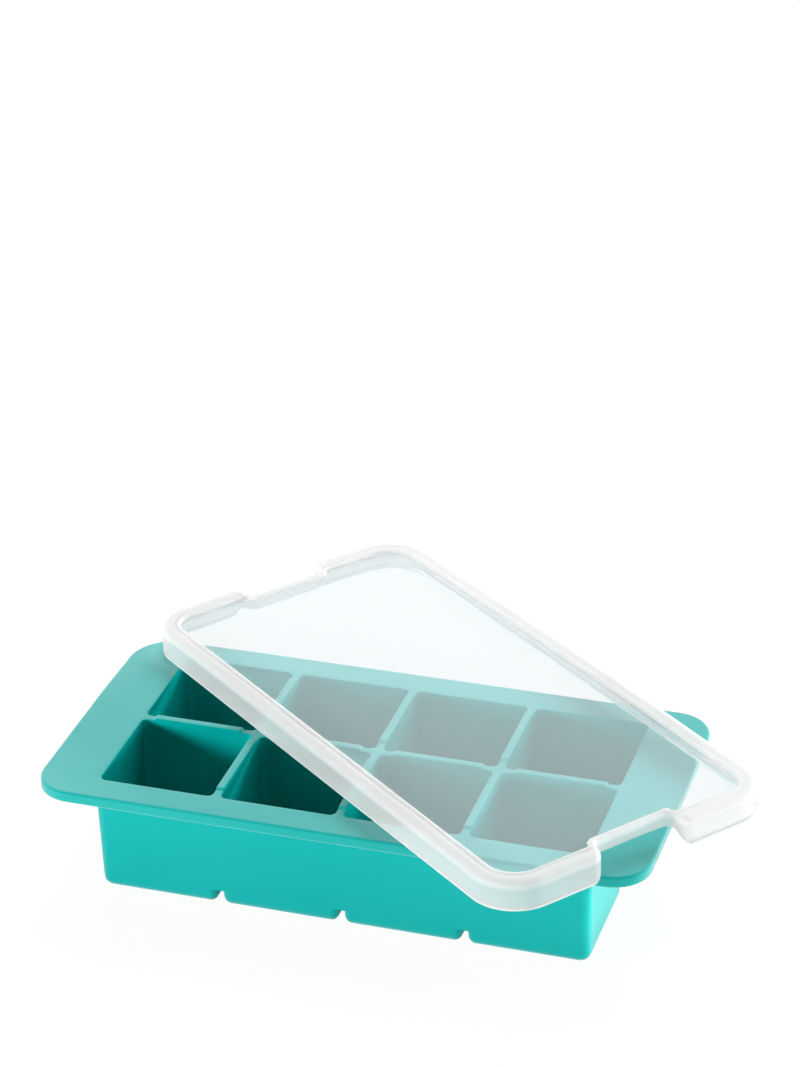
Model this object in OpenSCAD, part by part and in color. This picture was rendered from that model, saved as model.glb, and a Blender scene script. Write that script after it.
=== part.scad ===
// Silicone ice cube tray: two rows of deep square cells in one flexible moulding,
// with its stiff clear lid laid askew across the top.
// Millimetres. Z is up and the tray stands on z = 0.

/* [Cells] */
// Cells along the tray
columns = 4; // [2:1:6]
// Cells across the tray
rows = 2; // [1:1:3]
// Side of a cell's square mouth
cell_w = 45.6; // [30:0.1:60]
// Thickness of the partitions at the rim
partition_t = 3.2; // [2.4:0.1:6]
// How much each cell wall leans in towards the floor
cell_draft = 1.6; // [0.5:0.1:2.4]
// Corner radius of a cell's mouth
cell_corner_r = 2.5; // [1:0.1:6]
// Radius between a cell's walls and its floor
cell_floor_r = 3.5; // [1:0.1:8]
// Thickness of the floor under a cell
floor_t = 3; // [2:0.1:6]

/* [Body] */
// Height of the rim's top above the table
tray_h = 48; // [35:0.5:70]
// Thickness of the outer walls at the rim
wall_t = 3; // [2:0.1:5]
// How much the outer walls lean in towards the base
body_draft = 0.8; // [0:0.1:2]
// Radius of the body's upright corners
body_corner_r = 4.5; // [3:0.1:9]
// Radius round the foot of each cell block
foot_r = 4; // [2:0.1:6]

/* [Slots under the base] */
// Height of the slots that part the cell blocks
slot_h = 7; // [5:0.1:12]
// Width of the slots
slot_w = 2.4; // [1.6:0.1:3.2]
// Upright corner radius where a slot opens
slot_mouth_r = 3; // [1:0.1:5]

/* [Rim] */
// Width of the rim past the cells at the two short ends
end_rim_w = 24; // [14:0.5:36]
// Width of the rim past the cells along the long sides
side_rim_w = 12.6; // [8:0.1:20]
// Thickness of the rim
rim_t = 4.4; // [3:0.1:7]
// Corner radius of the rim
rim_corner_r = 15; // [8:0.5:26]
// Rounding of the rim's edges
rim_edge_r = 1; // [0.4:0.1:1.6]

/* [Ridges on the partitions] */
// Height of the ridges above the rim
ridge_h = 0.9; // [0.4:0.1:2]
// How far each ridge stops short of the cell's corner
ridge_stop = 4.5; // [3:0.1:10]

/* [Lid] */
// Gap between the rim and the inside of the lid's skirt
lid_gap = 1.2; // [0.3:0.1:3]
// Wall thickness of the lid
lid_t = 1.4; // [1:0.1:2]
// Height of the lid from the foot of its skirt
lid_h = 12.3; // [8:0.1:20]
// Corner radius of the lid
lid_corner_r = 19.5; // [10:0.5:26]
// Rounding of the lid's top outer edge
lid_edge_r = 2; // [1:0.1:2.2]
// Width of the raised border
border_w = 7.2; // [5:0.1:12]
// How far the panel lies below the border
panel_drop = 1.1; // [0.4:0.1:2]
// Depth of the finger notch at each short end
notch_d = 9; // [7.5:0.5:12]
// Half the width of the finger notch
notch_half_w = 19; // [12:0.5:28]
// Width of the border left along the notch
notch_border = 2.8; // [2.7:0.1:5]
// How much the notch's sides flare, in degrees
notch_flare = 8; // [4:1:20]
// Radius where the notch opens at the short end
notch_mouth_r = 3; // [2.9:0.1:3.5]
// Radius in the inner corners of the notch
notch_inner_r = 4; // [1:0.1:4]
// Depth of the skirt left inside the notch
notch_skirt = 7.5; // [4:0.1:9]
// Bottom corner radius of the skirt beside the notch
skirt_corner_r = 6; // [4:0.5:8]

/* [How the lid lies] */
// Turn of the lid on the tray, in degrees
lid_turn = -38; // [-60:0.5:0]
// Lid centre along the tray, from the tray's centre
lid_x = 20.9; // [-30:0.1:40]
// Lid centre across the tray, from the tray's centre
lid_y = 25.2; // [-30:0.1:40]

/* [Hidden] */

pitch = cell_w + partition_t;
field_x = columns * cell_w + (columns - 1) * partition_t;
field_y = rows * cell_w + (rows - 1) * partition_t;
rim_x = field_x / 2 + end_rim_w;
rim_y = field_y / 2 + side_rim_w;
body_x = field_x / 2 + wall_t;
body_y = field_y / 2 + wall_t;
body_top = tray_h - rim_t / 2;
ridge_top = tray_h + ridge_h;
lid_a = rim_x + lid_gap + lid_t;
lid_b = rim_y + lid_gap + lid_t;

// reach of the turned lid from its own centre, and the middle of the whole footprint
cs = abs(cos(lid_turn));
sn = abs(sin(lid_turn));
reach_x = cs * (lid_a - lid_corner_r) + sn * (lid_b - lid_corner_r) + lid_corner_r;
reach_y = sn * (lid_a - lid_corner_r) + cs * (lid_b - lid_corner_r) + lid_corner_r;
mid_x = (max(rim_x, lid_x + reach_x) + min(-rim_x, lid_x - reach_x)) / 2;
mid_y = (max(rim_y, lid_y + reach_y) + min(-rim_y, lid_y - reach_y)) / 2;

silicone = [0.02, 0.62, 0.58];
frosted = [0.88, 0.92, 0.92];

// points of an arc about (cx, cy) from angle a0 to a1 in n steps, its radius going from r to r1
function arc(cx, cy, r, a0, a1, n, r1 = undef) =
    [for (i = [0:n]) let (q = a0 + (a1 - a0) * i / n, w = r + ((is_undef(r1) ? r : r1) - r) * i / n)
        [cx + w * cos(q), cy + w * sin(q)]];

// rectangle from x0, y0 to x1, y1 with a radius of its own at each corner
function plate(x0, x1, y0, y1, r, n) = concat(
    arc(x1 - r[0], y0 + r[0], r[0], -90, 0, n),
    arc(x1 - r[1], y1 - r[1], r[1], 0, 90, n),
    arc(x0 + r[2], y1 - r[2], r[2], 90, 180, n),
    arc(x0 + r[3], y0 + r[3], r[3], 180, 270, n));

// one solid through a series of outlines that all have the same number of points;
// a height is one number for a whole outline or a list with one for each point.
// A notched outline has its two ends made of strips that run from side to side
module loft(outlines, heights, notched = false) {
    n = len(outlines[0]);
    m = len(outlines);
    pts = [for (k = [0:m - 1]) for (i = [0:n - 1])
        [outlines[k][i][0], outlines[k][i][1], is_list(heights[k]) ? heights[k][i] : heights[k]]];
    sides = [for (k = [0:m - 2]) for (i = [0:n - 1]) let (j = (i + 1) % n)
        [k * n + i, (k + 1) * n + i, (k + 1) * n + j, k * n + j]];
    foot = notched ? [for (i = [0:n / 2 - 2]) [i, i + 1, n - 2 - i, n - 1 - i]] : [[for (i = [0:n - 1]) i]];
    top = [for (f = foot) [for (i = [len(f) - 1:-1:0]) (m - 1) * n + f[i]]];
    faces = concat(sides, foot, top);
    polyhedron(pts, notched ? [for (q = faces) each [[q[0], q[1], q[2]], [q[0], q[2], q[3]]]] : faces, 4);
}

// rounding angles for a foot or an edge
steps = [0, 22.5, 45, 67.5, 90];

// flat rim all round, its edges rounded
module rim() {
    e = rim_edge_r;
    inset = [e * 0.5, e * 0.15, 0, 0, e * 0.08, e * 0.3, e];
    z = [tray_h - rim_t, tray_h - rim_t + e * 0.15, tray_h - rim_t + e * 0.5,
        tray_h - e, tray_h - e * 0.6, tray_h - e * 0.28, tray_h];
    loft([for (d = inset) plate(-rim_x + d, rim_x - d, -rim_y + d, rim_y - d,
        [for (i = [0:3]) rim_corner_r - d], 10)], z);
}

// outer wall's lean at height z
function lean(z) = body_draft * (1 - z / body_top);

// body above the slots
module upper_body() {
    loft([for (z = [slot_h, body_top]) plate(-body_x + lean(z), body_x - lean(z), -body_y + lean(z), body_y - lean(z),
        [for (i = [0:3]) body_corner_r], 7)], [slot_h, body_top]);
}

// one block below the cell in column i, row j, with a rounded foot
module block(i, j) {
    x0 = i == 0 ? -body_x : (i - columns / 2) * pitch + slot_w / 2;
    x1 = i == columns - 1 ? body_x : (i + 1 - columns / 2) * pitch - slot_w / 2;
    y0 = j == 0 ? -body_y : (j - rows / 2) * pitch + slot_w / 2;
    y1 = j == rows - 1 ? body_y : (j + 1 - rows / 2) * pitch - slot_w / 2;
    // corner radii, starting at x1, y0
    r = [for (c = [[columns - 1, 0], [columns - 1, rows - 1], [0, rows - 1], [0, 0]])
        i == c[0] && j == c[1] ? body_corner_r : slot_mouth_r];
    z = concat([for (a = steps) foot_r * (1 - cos(a))], [slot_h]);
    d = concat([for (a = steps) foot_r * (1 - sin(a))], [0]);
    loft([for (k = [0:len(z) - 1]) let (l = lean(z[k])) plate(
        x0 + d[k] + (i == 0 ? l : 0), x1 - d[k] - (i == columns - 1 ? l : 0),
        y0 + d[k] + (j == 0 ? l : 0), y1 - d[k] - (j == rows - 1 ? l : 0),
        [for (q = r) max(q - d[k], 0.35)], 7)], z);
}

// the space of the cell in column i, row j
module cell(i, j) {
    x = (i - (columns - 1) / 2) * pitch;
    y = (j - (rows - 1) / 2) * pitch;
    h = cell_w / 2;
    depth = tray_h - floor_t;
    z = concat([for (a = steps) floor_t + cell_floor_r * (1 - cos(a))], [tray_h + 2]);
    d = concat([for (a = steps) cell_floor_r * (1 - sin(a))], [0]);
    loft([for (k = [0:len(z) - 1]) let (w = h - d[k] - cell_draft * (tray_h - z[k]) / depth)
        plate(x - w, x + w, y - w, y + w, [for (q = [0:3]) max(cell_corner_r + 1 - d[k], 0.5)], 7)], z);
}

// ridges along the partitions, each stopping short of the crossings and the rim
module ridges() {
    reach = cell_w / 2 - ridge_stop;
    slope = ridge_h * 0.8;
    for (i = [0:columns - 1]) for (j = [0:rows - 2])
        translate([(i - (columns - 1) / 2) * pitch, (j + 1 - rows / 2) * pitch, tray_h])
            rotate([90, 0, 0]) linear_extrude(partition_t + 1, center = true)
                polygon([[-reach, -1], [reach, -1], [reach, 0], [reach - slope, ridge_h], [slope - reach, ridge_h], [-reach, 0]]);
    for (i = [0:columns - 2]) for (j = [0:rows - 1])
        translate([(i + 1 - columns / 2) * pitch, (j - (rows - 1) / 2) * pitch, tray_h])
            rotate([90, 0, 90]) linear_extrude(partition_t + 1, center = true)
                polygon([[-reach, -1], [reach, -1], [reach, 0], [reach - slope, ridge_h], [slope - reach, ridge_h], [-reach, 0]]);
}

// the flexible tray, moulded as one piece
module tray() {
    color(silicone) translate([-mid_x, -mid_y, 0]) difference() {
        union() {
            rim();
            upper_body();
            for (i = [0:columns - 1]) for (j = [0:rows - 1]) block(i, j);
            ridges();
        }
        for (i = [0:columns - 1]) for (j = [0:rows - 1]) cell(i, j);
    }
}

// places along a short end where the foot of the skirt starts to curve up towards the notch
shoulder = [for (t = [0, 0.35, 0.7]) notch_half_w + skirt_corner_r - t * (skirt_corner_r - notch_mouth_r)];

// half of the lid's outline, inset by d, or by dn in its finger notch:
// corner, shoulder, mouth of the notch, inner corner, and the same again mirrored.
// The notch's sides flare by a few degrees, which sets the mouth a little further out
function lid_end(a, b, r, nd, nh, rv, rc, d, dn) =
    let (q = 90 - notch_flare, rr = rv + rc,
        nm = nh + (nd - rr + rr * cos(q)) / tan(q) - rr * (1 - sin(q))) concat(
    arc(a - r, -b + r, r - d, -90, 0, 9),
    [for (y = shoulder) [a - d, -y]],
    arc(a - rv, -nm - rv, rv - d, 0, q, 4, rv - dn),
    arc(a - nd + rc, -nh + rc, rc + dn, 180 + q, 180, 5),
    arc(a - nd + rc, nh - rc, rc + dn, 180, 180 - q, 5),
    arc(a - rv, nm + rv, rv - dn, -q, 0, 4, rv - d),
    [for (i = [2:-1:0]) [a - d, shoulder[i]]],
    arc(a - r, b - r, r - d, 0, 90, 9));
function lid_line(a, b, r, nd, nh, rv, rc, d, dn) =
    let (e = lid_end(a, b, r, nd, nh, rv, rc, d, dn)) concat(e, [for (p = e) [-p[0], -p[1]]]);
function lid_outer(d, dn) =
    lid_line(lid_a, lid_b, lid_corner_r, notch_d, notch_half_w, notch_mouth_r, notch_inner_r, d, dn);
// inner edge of the border, which follows the notch with a shallower one
inner_step = max(1.2, notch_d - border_w + notch_border);
inner_r = min(1.8, inner_step / 2 - 0.05);
function lid_inner(d) = lid_line(lid_a - border_w, lid_b - border_w, lid_corner_r - border_w,
    inner_step, notch_half_w + 0.8, inner_r, inner_r, d, d);

// height of the skirt's foot at distance y from the middle of a short end
function skirt_foot(y) = let (u = notch_half_w + skirt_corner_r - y)
    u <= 0 ? 0 : min(lid_h - notch_skirt, u >= skirt_corner_r ? lid_h : skirt_corner_r - sqrt(pow(skirt_corner_r, 2) - u * u));

// the stiff lid: a clear panel in a raised border, with a skirt all round.
// Its section is carried round the outline: underside of the panel, down the inside
// of the skirt, round its foot, up the outside, over the border and down to the panel.
// The outer edge is rounded half as much along the notches
module lid() {
    e = lid_edge_r;
    t = lid_t;
    panel_top = lid_h - panel_drop;
    foot = [for (p = lid_outer(0, 0)) skirt_foot(abs(p[1]))];
    foot_edge = [for (z = foot) z + 0.35];
    color(frosted) translate([lid_x - mid_x, lid_y - mid_y, ridge_top]) rotate([0, 0, lid_turn])
        loft(concat([for (d = [t + 0.8, t + 0.25, t, t, t - 0.35, 0.35, 0]) lid_outer(d, d)],
            [for (q = steps) let (d = e * (1 - cos(q))) lid_outer(d, d / 2)],
            [for (d = [-0.3, 0.1, 0.4]) lid_inner(d)]),
            concat([panel_top - t, panel_top - t - 0.25, panel_top - t - 0.8, foot_edge, foot, foot, foot_edge],
            [for (q = steps) lid_h - e + e * sin(q)], [lid_h, panel_top + 0.3, panel_top]), notched = true);
}

tray();
lid();
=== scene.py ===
# Silicone ice cube tray with its clear lid lying askew on top, dressed for rendering.
import bpy
import numpy as np
from mathutils import Euler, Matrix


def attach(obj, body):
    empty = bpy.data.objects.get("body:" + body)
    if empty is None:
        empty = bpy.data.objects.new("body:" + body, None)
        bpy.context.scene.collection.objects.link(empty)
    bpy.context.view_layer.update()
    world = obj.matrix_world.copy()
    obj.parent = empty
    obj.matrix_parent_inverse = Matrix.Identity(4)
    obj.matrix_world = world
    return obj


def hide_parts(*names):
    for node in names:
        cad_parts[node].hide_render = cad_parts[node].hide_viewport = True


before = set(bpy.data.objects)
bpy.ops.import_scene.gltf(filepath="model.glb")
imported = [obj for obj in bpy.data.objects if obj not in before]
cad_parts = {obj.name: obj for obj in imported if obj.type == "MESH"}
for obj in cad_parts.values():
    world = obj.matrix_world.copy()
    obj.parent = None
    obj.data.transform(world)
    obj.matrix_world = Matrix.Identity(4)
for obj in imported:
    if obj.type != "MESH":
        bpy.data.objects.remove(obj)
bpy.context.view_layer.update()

print("frame loaded")
mm = 0.001

# where the tray and the lid stand in the CAD frame, in mm and degrees
place = dict(trayCentre=(-14.03, -25.2), lidCentre=(6.87, 0.0), lidFoot=48.9, lidTurn=-38.0)

# corners that agree when rounded to 1/weldSteps of a mm are merged; edges that turn by more than
# sharpAngle degrees stay crisp
meshing = dict(weldSteps=2e4, sharpAngle=40)


# meshes
# quads between neighbouring rows of closed rings: corner i of row k joins i + 1 and row k + 1
def ringFaces(rowCount, perRow, flip=False):
    k, i = np.meshgrid(np.arange(rowCount - 1), np.arange(perRow), indexing="ij")
    j = (i + 1) % perRow
    quads = np.stack([k * perRow + i, k * perRow + j, (k + 1) * perRow + j, (k + 1) * perRow + i], -1)
    quads = quads.reshape(-1, 4)
    return quads[:, ::-1] if flip else quads


# corners that lie on one another become one; a quad left with three of them is a triangle
def weld(points, quads, tags):
    key = np.round(points * meshing["weldSteps"]).astype(np.int64)
    _, first, back = np.unique(key, axis=0, return_index=True, return_inverse=True)
    quads = back.reshape(-1)[quads]
    same = quads == np.roll(quads, 1, axis=1)
    whole = quads[~same.any(1)]
    short = same.sum(1) == 1
    triangles = quads[short][~same[short]].reshape(-1, 3)
    return points[first], whole.tolist() + triangles.tolist(), np.r_[tags[~same.any(1)], tags[short]]


# a mesh object at the origin from points in mm, smooth shaded apart from its sharp edges
def addPiece(name, points, faces, materials, faceMaterial):
    mesh = bpy.data.meshes.new(name)
    mesh.from_pydata((points * mm).tolist(), [], faces)
    for material in materials:
        mesh.materials.append(material)
    mesh.polygons.foreach_set("material_index", np.asarray(faceMaterial, dtype=np.int32))
    mesh.polygons.foreach_set("use_smooth", np.ones(len(mesh.polygons), dtype=bool))
    mesh.validate()
    mesh.update()
    mesh.set_sharp_from_angle(angle=np.radians(meshing["sharpAngle"]))
    piece = bpy.data.objects.new(name, mesh)
    bpy.context.scene.collection.objects.link(piece)
    return piece


# 0 below 0, 1 above 1, and three t squared less two t cubed between
def smoothStep(t):
    t = np.clip(t, 0, 1)
    return t * t * (3 - 2 * t)


# the angles of a rounding's rings, from 0 to a quarter turn
def quarterTurn(count):
    return np.radians(np.linspace(0, 90, count))


# materials
# a Principled material; keyword names are socket names with underscores for spaces
def newMaterial(name, colour, **sockets):
    material = bpy.data.materials.new(name)
    material.use_nodes = True
    shader = material.node_tree.nodes["Principled BSDF"]
    shader.inputs["Base Color"].default_value = (*colour, 1)
    for socket, value in sockets.items():
        shader.inputs[socket.replace("_", " ")].default_value = value
    return material, material.node_tree, shader


def link(tree, source, target):
    tree.links.new(source, target)


# noise over Object coordinates, its scale in waves per metre
def noise(tree, scale, detail=2.0):
    coords = tree.nodes.new("ShaderNodeTexCoord")
    texture = tree.nodes.new("ShaderNodeTexNoise")
    texture.inputs["Scale"].default_value = scale
    texture.inputs["Detail"].default_value = detail
    link(tree, coords.outputs["Object"], texture.inputs["Vector"])
    return texture.outputs["Fac"]


# the source's range from fromLow to fromHigh, where most of a noise lies, mapped onto low to high
def spread(tree, source, low, high, fromLow=0.3, fromHigh=0.7):
    node = tree.nodes.new("ShaderNodeMapRange")
    node.inputs["From Min"].default_value = fromLow
    node.inputs["From Max"].default_value = fromHigh
    node.inputs["To Min"].default_value = low
    node.inputs["To Max"].default_value = high
    link(tree, source, node.inputs["Value"])
    return node.outputs["Result"]


# bump layers of (height source, depth in metres) stacked on the shader's normal
def bumps(tree, shader, layers):
    normal = None
    for source, depth in layers:
        node = tree.nodes.new("ShaderNodeBump")
        node.inputs["Distance"].default_value = depth
        link(tree, source, node.inputs["Height"])
        if normal:
            link(tree, normal, node.inputs["Normal"])
        normal = node.outputs["Normal"]
    link(tree, normal, shader.inputs["Normal"])


siliconeLook = dict(
    colour=(0.0, 0.42, 0.395),
    milky=(0.01, 0.46, 0.43), milkyScale=14, milkyShare=(0, 0.35),
    roughness=(0.40, 0.48), roughScale=60, cloudDetail=3, ior=1.43,
    # sheen, its roughness, and gloss: the rim is the milkiest, the pockets the clearest
    finishes=dict(tealBody=(1.0, 0.35, 0.15), tealRim=(1.0, 0.43, 0.15), tealPockets=(0.0, 0.4, 0.04)),
    grainScale=2600, grainDepth=0.00002,
    waveScale=22, waveDepth=0.0009,
)


def siliconeMaterial(name, look, sheen, sheenRoughness, gloss):
    material, tree, shader = newMaterial(
        name, look["colour"], Roughness=0.45, IOR=look["ior"], Specular_IOR_Level=gloss,
        Sheen_Weight=sheen, Sheen_Roughness=sheenRoughness, Sheen_Tint=(1, 1, 1, 1))
    # on a colour mix, sockets 6 and 7 are the two colours and output 2 is the result
    mix = tree.nodes.new("ShaderNodeMix")
    mix.data_type = "RGBA"
    mix.inputs[6].default_value = (*look["colour"], 1)
    mix.inputs[7].default_value = (*look["milky"], 1)
    clouds = noise(tree, look["milkyScale"], look["cloudDetail"])
    link(tree, spread(tree, clouds, *look["milkyShare"]), mix.inputs[0])
    link(tree, mix.outputs[2], shader.inputs["Base Color"])
    patches = noise(tree, look["roughScale"], look["cloudDetail"])
    link(tree, spread(tree, patches, *look["roughness"]), shader.inputs["Roughness"])
    bumps(tree, shader, [(noise(tree, look["grainScale"]), look["grainDepth"]),
                         (noise(tree, look["waveScale"], 1), look["waveDepth"])])
    return material


lidLook = dict(
    ior=1.49,
    panelAlpha=0.24, panelColour=(0.79, 0.872, 0.905), panelRoughness=(0.3, 0.4), panelRoughScale=35,
    # height above the skirt's foot in mm, then how solid and how white the plastic looks there; the whiter,
    # more solid band in the first 0.6 mm is a painted highlight along the skirt's foot
    frostOutsideFootHighlight=((0.0, 0.95, 0.92), (0.6, 0.9, 0.91), (1.4, 0.53, 0.79), (8.5, 0.53, 0.79),
                  (10.8, 0.78, 0.86), (12.3, 0.88, 0.825)),
    # the inside's plastic is painted whiter than the outside's, as painted light on the skirt's inner faces,
    # which stay in shade; it is also less solid
    frostInsidePaintedLight=((0.0, 0.95, 0.92), (0.6, 0.9, 0.91), (1.4, 0.3, 0.96), (8.5, 0.3, 0.96),
                 (10.8, 0.5, 0.96), (12.3, 0.6, 0.96)),
    # frostTint is a slight warm tint, a painted correction against the teal light bounced onto the lid from
    # the tray
    frostTint=(1.02, 1, 0.995), frostRoughness=(0.34, 0.46), frostRoughScale=70,
    scatter=0.7, scatterDepth=0.004,
    grainScale=1800, grainDepth=0.00003,
    sinkScale=30, sinkDepth=0.0003,
)


def panelMaterial(look):
    material, tree, shader = newMaterial(
        "clearPanel", look["panelColour"], Roughness=0.35, IOR=look["ior"], Alpha=look["panelAlpha"])
    link(tree, spread(tree, noise(tree, look["panelRoughScale"]), *look["panelRoughness"]),
         shader.inputs["Roughness"])
    return material


def frostMaterial(name, look, levels):
    high = levels[-1][0]
    material, tree, shader = newMaterial(
        name, (0.9, 0.9, 0.9), Roughness=0.4, IOR=look["ior"], Subsurface_Weight=look["scatter"],
        Subsurface_Radius=(1, 1, 1), Subsurface_Scale=look["scatterDepth"])
    coords = tree.nodes.new("ShaderNodeTexCoord")
    parts = tree.nodes.new("ShaderNodeSeparateXYZ")
    link(tree, coords.outputs["Object"], parts.inputs[0])
    height = spread(tree, parts.outputs["Z"], 0, 1, place["lidFoot"] * mm, (place["lidFoot"] + high) * mm)
    # the base colour ramp paints light: the whiter band at the foot is a painted highlight, and the inside
    # frost's levels paint its shaded faces lighter
    for column, socket, tint in ((1, "Alpha", (1, 1, 1)), (2, "Base Color", look["frostTint"])):
        ramp = tree.nodes.new("ShaderNodeValToRGB")
        stops = ramp.color_ramp.elements
        for row in levels[1:-1]:
            stops.new(row[0] / high)
        for stop, row in zip(stops, levels):
            stop.position, stop.color = row[0] / high, (*(row[column] * part for part in tint), 1)
        link(tree, height, ramp.inputs["Fac"])
        link(tree, ramp.outputs["Color"], shader.inputs[socket])
    link(tree, spread(tree, noise(tree, look["frostRoughScale"]), *look["frostRoughness"]),
         shader.inputs["Roughness"])
    bumps(tree, shader, [(noise(tree, look["grainScale"]), look["grainDepth"]),
                         (noise(tree, look["sinkScale"], 1), look["sinkDepth"])])
    return material


# tray: one moulding, all in mm from the tray's own centre
tray = dict(
    columns=4, rows=2, cell=45.6, partition=3.2, height=48.0,
    cornerR=2.4, lip=0.45, draft=1.6, deepCornerR=4.0,
    # depths below the rim where the pocket's wall has a ring, and the ridge's share in its height there
    wallRows=((1.25, 1), (4, 0.5), (9, 0), (24, 0)), floorHold=1.0,
    floor=3.0, floorR=3.5, floorTaper=0.75, floorMiddleR=1.2,
    ridge=0.9, ridgeReach=18.3, ridgeRamp=0.8,
    rimX=120.0, rimY=59.8, rimR=15.0, rimT=4.4, rimEdge=1.0, rimUnder=0.5,
    rimShares=(0.3, 0.65, 1), rimTopHold=0.8, rimSideHold=0.4, rimUnderHold=0.6,
    endWall=1.9, sideWall=3.0, bodyR=4.0, bodyDraft=0.8, collar=1.2,
    bodyShares=(0.03, 0.3, 0.6, 0.96, 0.99, 1),
    slotH=7.0, slotW=2.4, slotR=3.0, slotRoof=0.5, slotHold=1.2,
    footR=4.0, footTaper=0.7, footHold=0.6, leastR=0.5,
    # rings that fill a flat floor, as shares of its edge
    fill=(0.94, 0.6, 0.3, 0),
    arcSteps=12, edgeSteps=6, footSteps=9, lipRows=4,
    along=(6.0, 12.0, 15.6, 16.8, 17.4, 17.6, 17.8, 18.0, 18.2, 18.4, 18.8),
    # the free edge hangs: where that begins, over what width, and how deep; more at the rear left
    droopFrom=(99.0, 50.2), droopWidth=22.0, droop=0.12, rearDroop=1.25,
    rearFrom=(70.0, 10.0), rearWidth=(55.0, 50.0),
    waveDroop=0.16, waveLength=(31.0, 23.0), waveStart=(0.6, 1.1),
)


# ring round a rectangle, anticlockwise from its lower left corner: corner k is an arc of its own
# radius, or where sharp the same arc pushed out onto a square, and each side has points at the
# places along it, as shares of its straight part
def squareRing(x0, x1, y0, y1, radii, along, reach, arcSteps, sharp=(False,) * 4):
    radii = np.broadcast_to(np.asarray(radii, dtype=float).T, (2, 4)).T
    inward = np.array([[1, 1], [-1, 1], [-1, -1], [1, -1]])
    centre = np.array([[x0, y0], [x1, y0], [x1, y1], [x0, y1]]) + radii * inward
    angle = np.radians(180 + 90 * np.arange(4)[:, None] + np.linspace(0, 90, arcSteps + 1))
    out = np.stack([np.cos(angle), np.sin(angle)], -1)
    square = out / np.abs(out).max(-1, keepdims=True)
    out = np.where(np.asarray(sharp)[:, None, None], square, out)
    arcs = centre[:, None] + radii[:, None] * out
    share = ((along / reach + 1) / 2)[None, :, None]
    straight = arcs[:, -1:] * (1 - share) + np.roll(arcs, -1, axis=0)[:, :1] * share
    return np.concatenate([arcs, straight], axis=1).reshape(-1, 2)


def withHeight(flat, z):
    return np.column_stack([flat, np.broadcast_to(z, len(flat))])


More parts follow.
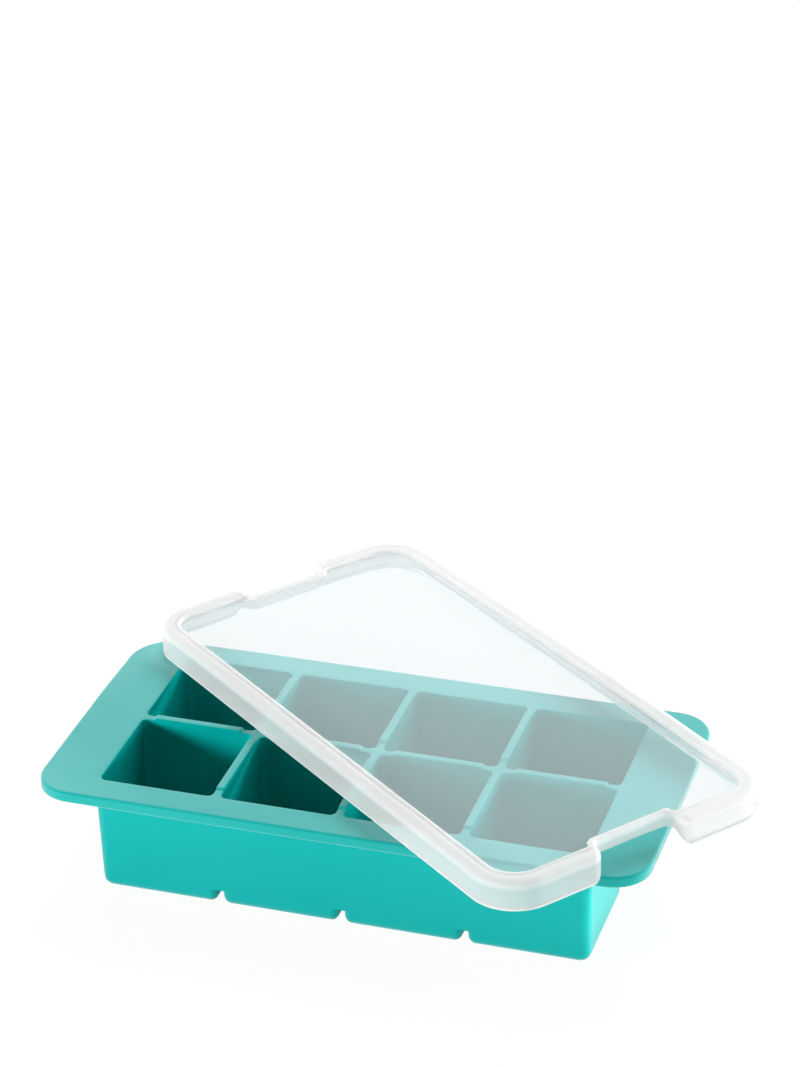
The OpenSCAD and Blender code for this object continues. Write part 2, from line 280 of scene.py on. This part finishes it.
# the whole tray as rings: a pocket for each cell, a block under each cell, and one skin round
# the outside, which all meet in the same corners
def trayPoints(s):
    pitch = s["cell"] + s["partition"]
    half, top = pitch / 2, s["height"]
    steps = s["arcSteps"]
    along = np.array([-a for a in s["along"][::-1]] + [0.0] + list(s["along"]))
    reach = s["cell"] / 2 - s["cornerR"]
    perSide = steps + 1 + len(along)
    perRing = 4 * perSide
    bodyX = s["columns"] * pitch / 2 - s["partition"] / 2 + s["endWall"]
    bodyY = s["rows"] * pitch / 2 - s["partition"] / 2 + s["sideWall"]
    under = top - s["rimT"]

    def lean(z):
        return s["bodyDraft"] * (1 - z / (top - s["rimT"] / 2))

    def ring(x0, x1, y0, y1, radii, sharp=(False,) * 4):
        return squareRing(x0, x1, y0, y1, radii, along, reach, steps, sharp)

    # how far each corner of a ring is raised: the ridge's height at its place along the side
    rise = s["ridge"] * smoothStep((s["ridgeReach"] - np.abs(along)) / s["ridgeRamp"])
    sideRise = np.concatenate([np.zeros(steps + 1), rise])

    points, quads, tags, topLoop, footLoop = [], [], [], {}, {}
    count = 0

    # the faces' materials: 0 body, 1 rim and ridges, 2 pockets; the first rows of a set may be rim
    def add(rings, flip, rest=0, rimRows=0):
        nonlocal count
        faces = ringFaces(len(rings), len(rings[0]), flip)
        quads.append(faces + count)
        tags.append(np.where(np.arange(len(faces)) // len(rings[0]) < rimRows, 1, rest))
        points.extend(rings)
        count += len(rings) * len(rings[0])

    quarter, fine = quarterTurn(s["edgeSteps"]), quarterTurn(s["footSteps"])
    for i in range(s["columns"]):
        for j in range(s["rows"]):
            cx, cy = (i - (s["columns"] - 1) / 2) * pitch, (j - (s["rows"] - 1) / 2) * pitch
            left, right = i == 0, i == s["columns"] - 1
            low, high = j == 0, j == s["rows"] - 1
            outer = np.array([left and low, right and low, right and high, left and high])
            lift = np.concatenate([sideRise * (not edge) for edge in (low, right, high, left)])

            # pocket: rim, lip, drafted wall, rounded floor
            def pocket(w, r):
                return ring(cx - w, cx + w, cy - w, cy + w, np.full((4, 1), r))

            def wallHalf(z):
                return s["cell"] / 2 - s["draft"] * (top - z) / (top - s["floor"])

            edge = ring(cx - half, cx + half, cy - half, cy + half, np.full((4, 1), half - reach), ~outer)
            topLoop[i, j] = withHeight(edge, top + lift)
            rings = [topLoop[i, j]]
            for a in quarter:
                d = s["lip"] * (1 - np.sin(a))
                rings.append(withHeight(pocket(s["cell"] / 2 + d, s["cornerR"] + d),
                                        top - s["lip"] * (1 - np.cos(a)) + lift))
            bend = s["floor"] + s["floorR"]
            wallRows = [(top - depth, share) for depth, share in s["wallRows"]]
            for z, share in wallRows + [(bend + s["floorHold"], 0)]:
                grow = (s["deepCornerR"] - s["cornerR"]) * (top - z) / (top - bend)
                rings.append(withHeight(pocket(wallHalf(z), s["cornerR"] + grow), z + lift * share))
            for a in fine:
                d, z = s["floorR"] * (1 - np.cos(a)), s["floor"] + s["floorR"] * (1 - np.sin(a))
                rings.append(withHeight(pocket(wallHalf(z) - d, s["deepCornerR"] - s["floorTaper"] * d), z))
            w = wallHalf(s["floor"]) - s["floorR"]
            for share in s["fill"]:
                rings.append(withHeight(pocket(w * share, s["floorMiddleR"] * share), s["floor"]))
            add(rings, False, rest=2, rimRows=s["lipRows"])

            # block under the cell, from its edges: to the middle of a slot, or to the outside
            def blockEdges(z, inset):
                return (cx - half + inset if not left else -bodyX + lean(z),
                        cx + half - inset if not right else bodyX - lean(z),
                        cy - half + inset if not low else -bodyY + lean(z),
                        cy + half - inset if not high else bodyY - lean(z))

            def block(z, d, taper, roof=0.0):
                x0, x1, y0, y1 = blockEdges(z, s["slotW"] / 2 - roof)
                radii = np.where(outer, s["bodyR"], s["slotR"])[:, None] - taper * d
                return ring(x0 + d, x1 - d, y0 + d, y1 - d, np.maximum(radii, s["leastR"]))

            # slot roof, wall, rounded foot
            inX = [s["slotR"] + (0 if edge else s["slotW"] / 2) for edge in (left, right, right, left)]
            inY = [s["slotR"] + (0 if edge else s["slotW"] / 2) for edge in (low, low, high, high)]
            radii = np.where(outer[:, None], s["bodyR"], np.column_stack([inX, inY]))
            footLoop[i, j] = withHeight(ring(*blockEdges(s["slotH"], 0), radii, ~outer), s["slotH"])
            rings = [footLoop[i, j]]
            for a in quarter:
                rings.append(withHeight(block(s["slotH"], 0, 0, s["slotRoof"] * (1 - np.sin(a))),
                                        s["slotH"] - s["slotRoof"] * (1 - np.cos(a))))
            for z in (s["slotH"] - s["slotHold"], s["footR"] + s["footHold"]):
                rings.append(withHeight(block(z, 0, 0), z))
            for a in fine:
                z = s["footR"] * (1 - np.sin(a))
                rings.append(withHeight(block(z, s["footR"] * (1 - np.cos(a)), s["footTaper"]), z))
            foot = block(0, s["footR"], s["footTaper"])
            middle = [foot.mean(0)]
            for share in s["fill"]:
                rings.append(withHeight(middle + (foot - middle) * share, 0.0))
            add(rings, True)

    # loops round the outside, from the outer tiles' outer edges
    def outerLoop(edges):
        lastColumn, lastRow = s["columns"] - 1, s["rows"] - 1
        tiles = [(i, 0, 0) for i in range(s["columns"])] + [(lastColumn, j, 1) for j in range(s["rows"])]
        tiles += [(i, lastRow, 2) for i in reversed(range(s["columns"]))]
        tiles += [(0, j, 3) for j in reversed(range(s["rows"]))]
        return np.concatenate([edges[i, j][(k * perSide + steps // 2 + np.arange(perSide)) % perRing]
                               for i, j, k in tiles])

    inner, foot = outerLoop(topLoop), outerLoop(footLoop)
    corner = half - reach
    straight = np.array([s["columns"] * half - corner, s["rows"] * half - corner])
    direction = np.clip(inner[:, :2] / straight, -1, 1)
    outward = (inner[:, :2] - direction * straight) / corner

    def outline(x, y, r, z):
        return withHeight((np.array([x, y]) - r) * direction + r * outward, z)

    def rimLine(d, z):
        return outline(s["rimX"] - d, s["rimY"] - d, s["rimR"] - d, z)

    def bodyLine(d, z):
        return outline(bodyX + d - lean(z), bodyY + d - lean(z), s["bodyR"] + d, z)

    # rim: top, rounded edge, side, rounded lower edge, underside
    rings = [inner]
    for share in s["rimShares"]:
        rings.append(inner * (1 - share) + rimLine(s["rimEdge"] + s["rimTopHold"], top) * share)
    for a in fine:
        rings.append(rimLine(s["rimEdge"] * (1 - np.sin(a)), top - s["rimEdge"] * (1 - np.cos(a))))
    rings += [rimLine(0, top - s["rimEdge"] - s["rimSideHold"]),
              rimLine(0, under + s["rimUnder"] + s["rimSideHold"])]
    for a in quarter:
        rings.append(rimLine(s["rimUnder"] * (1 - np.cos(a)), under + s["rimUnder"] * (1 - np.sin(a))))
    rings.append(rimLine(s["rimUnder"] + s["rimUnderHold"], under))
    rimRows = len(rings)
    # body: the collar where it leaves the rim, and its wall down to the slots
    rings.append(bodyLine(s["collar"] + s["rimUnderHold"], under))
    for a in quarter:
        rings.append(bodyLine(s["collar"] * (1 - np.sin(a)), under - s["collar"] * (1 - np.cos(a))))
    head = bodyLine(0, under - s["collar"])
    for share in s["bodyShares"]:
        rings.append(head * (1 - share) + foot * share)
    add(rings, True, rimRows=rimRows)
    return weld(np.concatenate(points), np.concatenate(quads), np.concatenate(tags))


# soft silicone: the rim's free edge hangs by a fraction of a millimetre, more at the rear left,
# with a long shallow wave in it
def drooped(points, s):
    x, y, z = points.T
    past = np.maximum(np.abs(x) - s["droopFrom"][0], np.abs(y) - s["droopFrom"][1])
    out = smoothStep(past / s["droopWidth"])
    rear = (smoothStep((-x - s["rearFrom"][0]) / s["rearWidth"][0])
            * smoothStep((y - s["rearFrom"][1]) / s["rearWidth"][1]))
    wave = (s["waveDroop"] * np.sin(x / s["waveLength"][0] + s["waveStart"][0])
            * np.sin(y / s["waveLength"][1] + s["waveStart"][1]))
    drop = out * (s["droop"] + s["rearDroop"] * rear + wave)
    return np.column_stack([x, y, z - drop * (z > s["height"] - s["rimT"] - 1)])


def makeTray(s, materials):
    points, faces, faceMaterial = trayPoints(s)
    points = drooped(points, s) + [*place["trayCentre"], 0]
    piece = addPiece("tray_moulding", points, faces, materials, faceMaterial)
    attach(piece, "root")
    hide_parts("tray")
    print("tray:", len(piece.data.vertices), "vertices,", len(piece.data.polygons), "faces")


# lid: one stiff moulding, in mm from its own centre, foot of the skirt at 0
lid = dict(
    halfLength=122.6, halfWidth=62.4, height=12.3, wall=1.4, cornerR=(19.0, 15.5),
    edgeWide=2.9, edgeHigh=2.3, footR=0.55, hold=0.5, insideEdge=0.8,
    # the sunk panel: its edge's rings as insets from the border and heights above the panel
    border=7.2, panelDrop=1.1, borderLip=-0.3,
    panelStep=((-0.15, 1.05), (-0.04, 0.9), (0.2, 0.25), (0.3, 0.06)),
    panelEdge=0.5, panelHold=1.6, fill=(0, 0.3, 0.6, 0.85, 1),
    notchDepth=9.0, notchHalf=17.9, mouthR=4.2, innerR=4.0, flare=8.0, notchEdge=1.4,
    notchBorder=2.0, notchInside=0.8, notchInsideR=2.15,
    notchShift=1.2, shiftFrom=44.0, shiftWidth=14.0,
    notchSkirt=6.6, skirtR=6.0, shoulderHold=0.7,
    # pressed groove in the border: places across it and the share of its depth there
    groove=0.42, grooveFrom=1.5, grooveWidth=2.0, farGroove=0.4, farFrom=20.0, farWidth=30.0,
    grooveShape=((0.2, 0), (0.32, 0.1), (0.45, 0.5), (0.58, 0.95), (0.7, 1), (0.8, 0.7),
                 (0.88, 0.2), (0.94, 0)),
    wander=0.05, wanderLength=11.0, shiver=0.03, shiverLength=4.3,
    sag=0.8, sagFrom=1.2, sagWidth=0.6,
    longPoints=30, cornerPoints=25, notchPoints=11, shoulderPoints=9, flankPoints=6,
    notchMiddle=(-10, -5, 0), insideSteps=5, edgeSteps=9,
)


# the lid's outline moved in by d, or by dn in its notches: for each end a corner, the notch's
# mouth, its inner corners and the mirror of these, with points along the long sides between
def lidLine(s, d, dn, inside=False):
    a, b = s["halfLength"], s["halfWidth"]
    radii = np.array(s["cornerR"])
    depth, half, mouth, inner = s["notchDepth"], s["notchHalf"], s["mouthR"], s["innerR"]
    if inside:
        depth += s["notchBorder"] - s["border"]
        a, b, radii = a - s["border"], b - s["border"], radii - s["border"]
        half += s["notchInside"]
        mouth = inner = s["notchInsideR"]
    turn = 90 - s["flare"]
    q = np.radians(turn)
    both = mouth + inner
    opening = half + (depth - both + both * np.cos(q)) / np.tan(q) - both * (1 - np.sin(q))

    # arc about a centre whose radius and angle both run from a first to a last value
    def arc(cx, cy, r0, r1, angle0, angle1, n):
        t = np.linspace(0, 1, n)
        angle, radius = np.radians(angle0 + (angle1 - angle0) * t), r0 + (r1 - r0) * t
        return np.column_stack([cx + radius * np.cos(angle), cy + radius * np.sin(angle)])

    reach = s["notchHalf"] + s["skirtR"]
    shoulder = np.linspace(reach, s["notchHalf"] + s["mouthR"] + s["shoulderHold"], s["shoulderPoints"])
    flank = np.linspace(s["halfWidth"] - max(s["cornerR"]), reach, s["flankPoints"])[1:-1]
    side = np.concatenate([flank, shoulder])
    middle = np.array(s["notchMiddle"])

    def halfEnd(r):
        return np.concatenate([
            arc(a - r, -b + r, r - d, r - d, -90, 0, s["cornerPoints"]),
            np.column_stack([np.full(len(side), a - d), -side]),
            arc(a - mouth, -opening - mouth, mouth - d, mouth - dn, 0, turn, s["notchPoints"]),
            arc(a - depth + inner, -half + inner, inner + dn, inner + dn, 180 + turn, 180, s["notchPoints"]),
            np.column_stack([np.full(len(middle), a - depth - dn), middle]),
        ])

    lower, upper = halfEnd(radii[0]), halfEnd(radii[1])[:-1][::-1] * [1, -1]
    end = np.concatenate([lower, upper])
    shift = s["notchShift"] * smoothStep((s["shiftFrom"] - np.abs(end[:, 1])) / s["shiftWidth"])
    end = end + np.column_stack([np.zeros(len(end)), shift])
    t = np.linspace(0, 1, s["longPoints"] + 2)[1:-1, None]
    long = end[-1] * (1 - t) + (-end[0]) * t
    return np.concatenate([end, long, -end, -long])


# height of the skirt's foot round the outline: 0, and beside the notches up a quarter circle
def skirtFoot(s):
    ends = lidLine(s, 0, 0)
    reach = s["notchHalf"] + s["skirtR"]
    fromMiddle = np.abs(ends[:, 1] - s["notchShift"] * np.sign(ends[:, 0]))
    u = np.clip(reach - fromMiddle, 0, s["skirtR"])
    foot = s["skirtR"] - np.sqrt(s["skirtR"] ** 2 - u ** 2)
    foot = np.where(reach - fromMiddle >= s["skirtR"], s["height"], foot)
    atEnd = np.abs(ends[:, 0]) > s["halfLength"] - s["notchDepth"] - 1
    return np.where(atEnd, np.minimum(foot, s["height"] - s["notchSkirt"]), 0)


# the section carried round the outline: underside, inside of the skirt, its foot, outside,
# rounded edge, border with a shallow groove, and down to the panel
def lidPoints(s):
    top, panelTop = s["height"], s["height"] - s["panelDrop"]
    foot = skirtFoot(s)
    w, f = s["wall"], s["footR"]
    quarter, fine = quarterTurn(s["insideSteps"]), quarterTurn(s["edgeSteps"])
    rows, kinds = [], []

    # the material from each row on: 0 frosted outside, 1 clear panel, 2 frosted inside, painted whiter to
    # stand in for light on its shaded faces
    def add(flat, z, kind=0):
        rows.append(withHeight(flat, z))
        kinds.append(kind)

    low = panelTop - w
    panel = lidLine(s, s["panelHold"], s["panelHold"], True)
    for share in s["fill"]:
        add(panel * share, low, 1)
    add(lidLine(s, s["panelEdge"], s["panelEdge"], True), low, 2)
    for a in quarter[::-1]:
        d = s["insideEdge"] * (1 - np.cos(a))
        add(lidLine(s, w + d, w + d), low - s["insideEdge"] * (1 - np.sin(a)), 2)
    add(lidLine(s, w, w), foot + f + s["hold"])
    for a in quarter:
        d = w - f * (1 - np.cos(a))
        add(lidLine(s, d, d), foot + f * (1 - np.sin(a)))
    for a in quarter[::-1]:
        d = f * (1 - np.cos(a))
        add(lidLine(s, d, d), foot + f * (1 - np.sin(a)))
    add(lidLine(s, 0, 0), foot + f + s["hold"])
    add(lidLine(s, 0, 0), top - s["edgeHigh"] - s["hold"])
    for a in fine:
        share = 1 - np.cos(a)
        add(lidLine(s, s["edgeWide"] * share, s["notchEdge"] * share), top - s["edgeHigh"] * (1 - np.sin(a)))

    # the groove fades where the border is narrow and along the far side, and wanders a little
    outer = lidLine(s, s["edgeWide"], s["notchEdge"])
    inner = lidLine(s, s["borderLip"], s["borderLip"], True)
    width = np.linalg.norm(inner - outer, axis=1)
    far = smoothStep((outer[:, 1] - s["farFrom"]) / s["farWidth"])
    deep = s["groove"] * smoothStep((width - s["grooveFrom"]) / s["grooveWidth"])
    deep = deep * (1 - (1 - s["farGroove"]) * far)
    run = outer[:, 0] + outer[:, 1] * np.sign(outer[:, 0])
    wander = s["wander"] * np.sin(run / s["wanderLength"] + 1) + s["shiver"] * np.sin(run / s["shiverLength"])
    for share, part in s["grooveShape"]:
        at = (share + wander * np.sin(np.pi * share))[:, None]
        add(outer * (1 - at) + inner * at, top - deep * part)
    add(inner, top)
    for d, z in s["panelStep"]:
        add(lidLine(s, d, d, True), panelTop + z)
    add(lidLine(s, s["panelEdge"], s["panelEdge"], True), panelTop, 1)
    for share in s["fill"][::-1]:
        add(panel * share, panelTop, 1)

    # the two far corners, which nothing holds up, sag a little
    rows = np.array(rows)
    x, y = rows[..., 0] / s["halfLength"], rows[..., 1] / s["halfWidth"]
    rows[..., 2] -= s["sag"] * smoothStep((np.abs(x) + y - s["sagFrom"]) / s["sagWidth"])
    return rows, np.array(kinds)


def makeLid(s, materials):
    rows, kinds = lidPoints(s)
    rowCount, perRow = rows.shape[:2]
    turn = np.radians(place["lidTurn"])
    flat = rows[..., :2] @ np.array([[np.cos(turn), np.sin(turn)], [-np.sin(turn), np.cos(turn)]])
    points = np.concatenate([flat + place["lidCentre"], rows[..., 2:] + place["lidFoot"]], -1).reshape(-1, 3)
    points, faces, faceMaterial = weld(points, ringFaces(rowCount, perRow), np.repeat(kinds[:-1], perRow))
    piece = addPiece("lid_moulding", points, faces, materials, faceMaterial)
    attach(piece, "root")
    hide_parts("lid")
    print("lid:", len(piece.data.vertices), "vertices,", len(piece.data.polygons), "faces")


makeTray(tray, [siliconeMaterial(name, siliconeLook, *finish)
                for name, finish in siliconeLook["finishes"].items()])
# frost materials with painted light: a painted highlight at the outside's foot, and a whiter inside for the
# skirt's shaded inner faces
makeLid(lid, [frostMaterial("frostedEdgeFootHighlight", lidLook, lidLook["frostOutsideFootHighlight"]), panelMaterial(lidLook),
              frostMaterial("frostedInsidePaintedLight", lidLook, lidLook["frostInsidePaintedLight"])])

# floor, light and camera
studio = dict(
    floorSize=6.0, floorColour=(0.8, 0.8, 0.8), floorGlow=0.9, floorLevel=1.045,
    world=0.1,
    # name, place, size, power; they all look at aim
    lamps=(
        ("lowLeft", (-0.97, -0.89, 0.258), (0.58, 0.24), 15.0),
        ("lowRight", (1.4, 1.05, 0.38), (0.7, 0.16), 23.0),
        ("frontRight", (1.5, -0.8, 0.14), (0.9, 0.14), 14.0),
        ("backTop", (-0.15, 2.9, 3.1), (4.2, 2.8), 205.0),
    ),
    aim=(0.0, 0.0, 0.045),
    # the hazy panel lets soft light down into the cells it covers
    hazeSize=(0.21, 0.09), hazePower=0.033, hazeHeight=8.5,
    # a lamp with a honeycomb grid lights the right end below the lid
    gridPlace=(0.5, 0.03, 0.02), gridTurn=98, gridSize=(0.13, 0.034), gridSpread=5, gridPower=0.013,
)
camera = dict(place=(0.349817, -1.0879, 0.745256), turn=(61.7837, 1.2851, 17.6584), lens=115.76,
              sensor=36, far=50)


# mixes in a plain white glow that only the camera, mirrors and glass see
def whiteToCamera(tree, plain, glowing, glow):
    def combine(operation, first, second):
        node = tree.nodes.new("ShaderNodeMath")
        node.operation = operation
        link(tree, first, node.inputs[0])
        if isinstance(second, float):
            node.inputs[1].default_value = second
        else:
            link(tree, second, node.inputs[1])
        return node.outputs[0]

    path = tree.nodes.new("ShaderNodeLightPath")
    seen = combine("MAXIMUM", path.outputs["Is Camera Ray"], path.outputs["Is Glossy Ray"])
    seen = combine("MAXIMUM", seen, path.outputs["Is Transmission Ray"])
    mix = tree.nodes.new("ShaderNodeMixShader")
    link(tree, combine("MULTIPLY", seen, glow), mix.inputs[0])
    link(tree, plain, mix.inputs[1])
    link(tree, glowing, mix.inputs[2])
    return mix.outputs[0]


def addLamp(name, size, power, spot, turn):
    lamp = bpy.data.lights.new(name, "AREA")
    lamp.shape = "RECTANGLE"
    lamp.size, lamp.size_y = size
    lamp.energy = power
    piece = bpy.data.objects.new(name, lamp)
    piece.visible_glossy = False
    piece.location = spot
    piece.rotation_euler = turn
    bpy.context.scene.collection.objects.link(piece)
    return lamp


def makeStudio(s):
    size = s["floorSize"]
    floor = bpy.data.meshes.new("floor")
    floor.from_pydata([(-size, -size, 0), (size, -size, 0), (size, size, 0), (-size, size, 0)], [],
                      [(0, 1, 2, 3)])
    material = bpy.data.materials.new("paleFloor")
    material.use_nodes = True
    tree = material.node_tree
    tree.nodes.clear()
    diffuse = tree.nodes.new("ShaderNodeBsdfDiffuse")
    diffuse.inputs["Color"].default_value = (*s["floorColour"], 1)
    white = tree.nodes.new("ShaderNodeEmission")
    white.inputs["Strength"].default_value = s["floorLevel"]
    output = tree.nodes.new("ShaderNodeOutputMaterial")
    surface = whiteToCamera(tree, diffuse.outputs[0], white.outputs[0], s["floorGlow"])
    link(tree, surface, output.inputs["Surface"])
    floor.materials.append(material)
    floorPiece = bpy.data.objects.new("floor", floor)
    bpy.context.scene.collection.objects.link(floorPiece)

    world = bpy.data.worlds.new("whiteStudio")
    bpy.context.scene.world = world
    world.use_nodes = True
    tree = world.node_tree
    tree.nodes.clear()
    dim = tree.nodes.new("ShaderNodeBackground")
    dim.inputs["Strength"].default_value = s["world"]
    bright = tree.nodes.new("ShaderNodeBackground")
    output = tree.nodes.new("ShaderNodeOutputWorld")
    link(tree, whiteToCamera(tree, dim.outputs[0], bright.outputs[0], 1.0), output.inputs["Surface"])

    for name, spot, size, power in s["lamps"]:
        away = np.array(spot) - np.array(s["aim"])
        tilt, around = np.arctan2(np.hypot(away[0], away[1]), away[2]), np.arctan2(away[0], -away[1])
        addLamp(name, size, power, spot, (tilt, 0, around))
    overLid = (*np.array(place["lidCentre"]) * mm, (place["lidFoot"] + s["hazeHeight"]) * mm)
    addLamp("panelHaze", s["hazeSize"], s["hazePower"], overLid, (0, 0, np.radians(place["lidTurn"])))
    grid = addLamp("endGrid", s["gridSize"], s["gridPower"], s["gridPlace"],
                   (np.pi / 2, 0, np.radians(s["gridTurn"])))
    grid.spread = np.radians(s["gridSpread"])
    print("studio:", len(s["lamps"]) + 2, "lamps")


def makeCamera(s):
    lens = bpy.data.cameras.new("camera")
    lens.sensor_fit = "AUTO"
    lens.sensor_width = s["sensor"]
    lens.lens = s["lens"]
    lens.clip_end = s["far"]
    piece = bpy.data.objects.new("camera", lens)
    piece.location = s["place"]
    piece.rotation_euler = Euler(np.radians(s["turn"]))
    bpy.context.scene.collection.objects.link(piece)
    bpy.context.scene.camera = piece
    print("camera placed")


makeStudio(studio)
makeCamera(camera)
bpy.context.scene.view_settings.view_transform = "Standard"
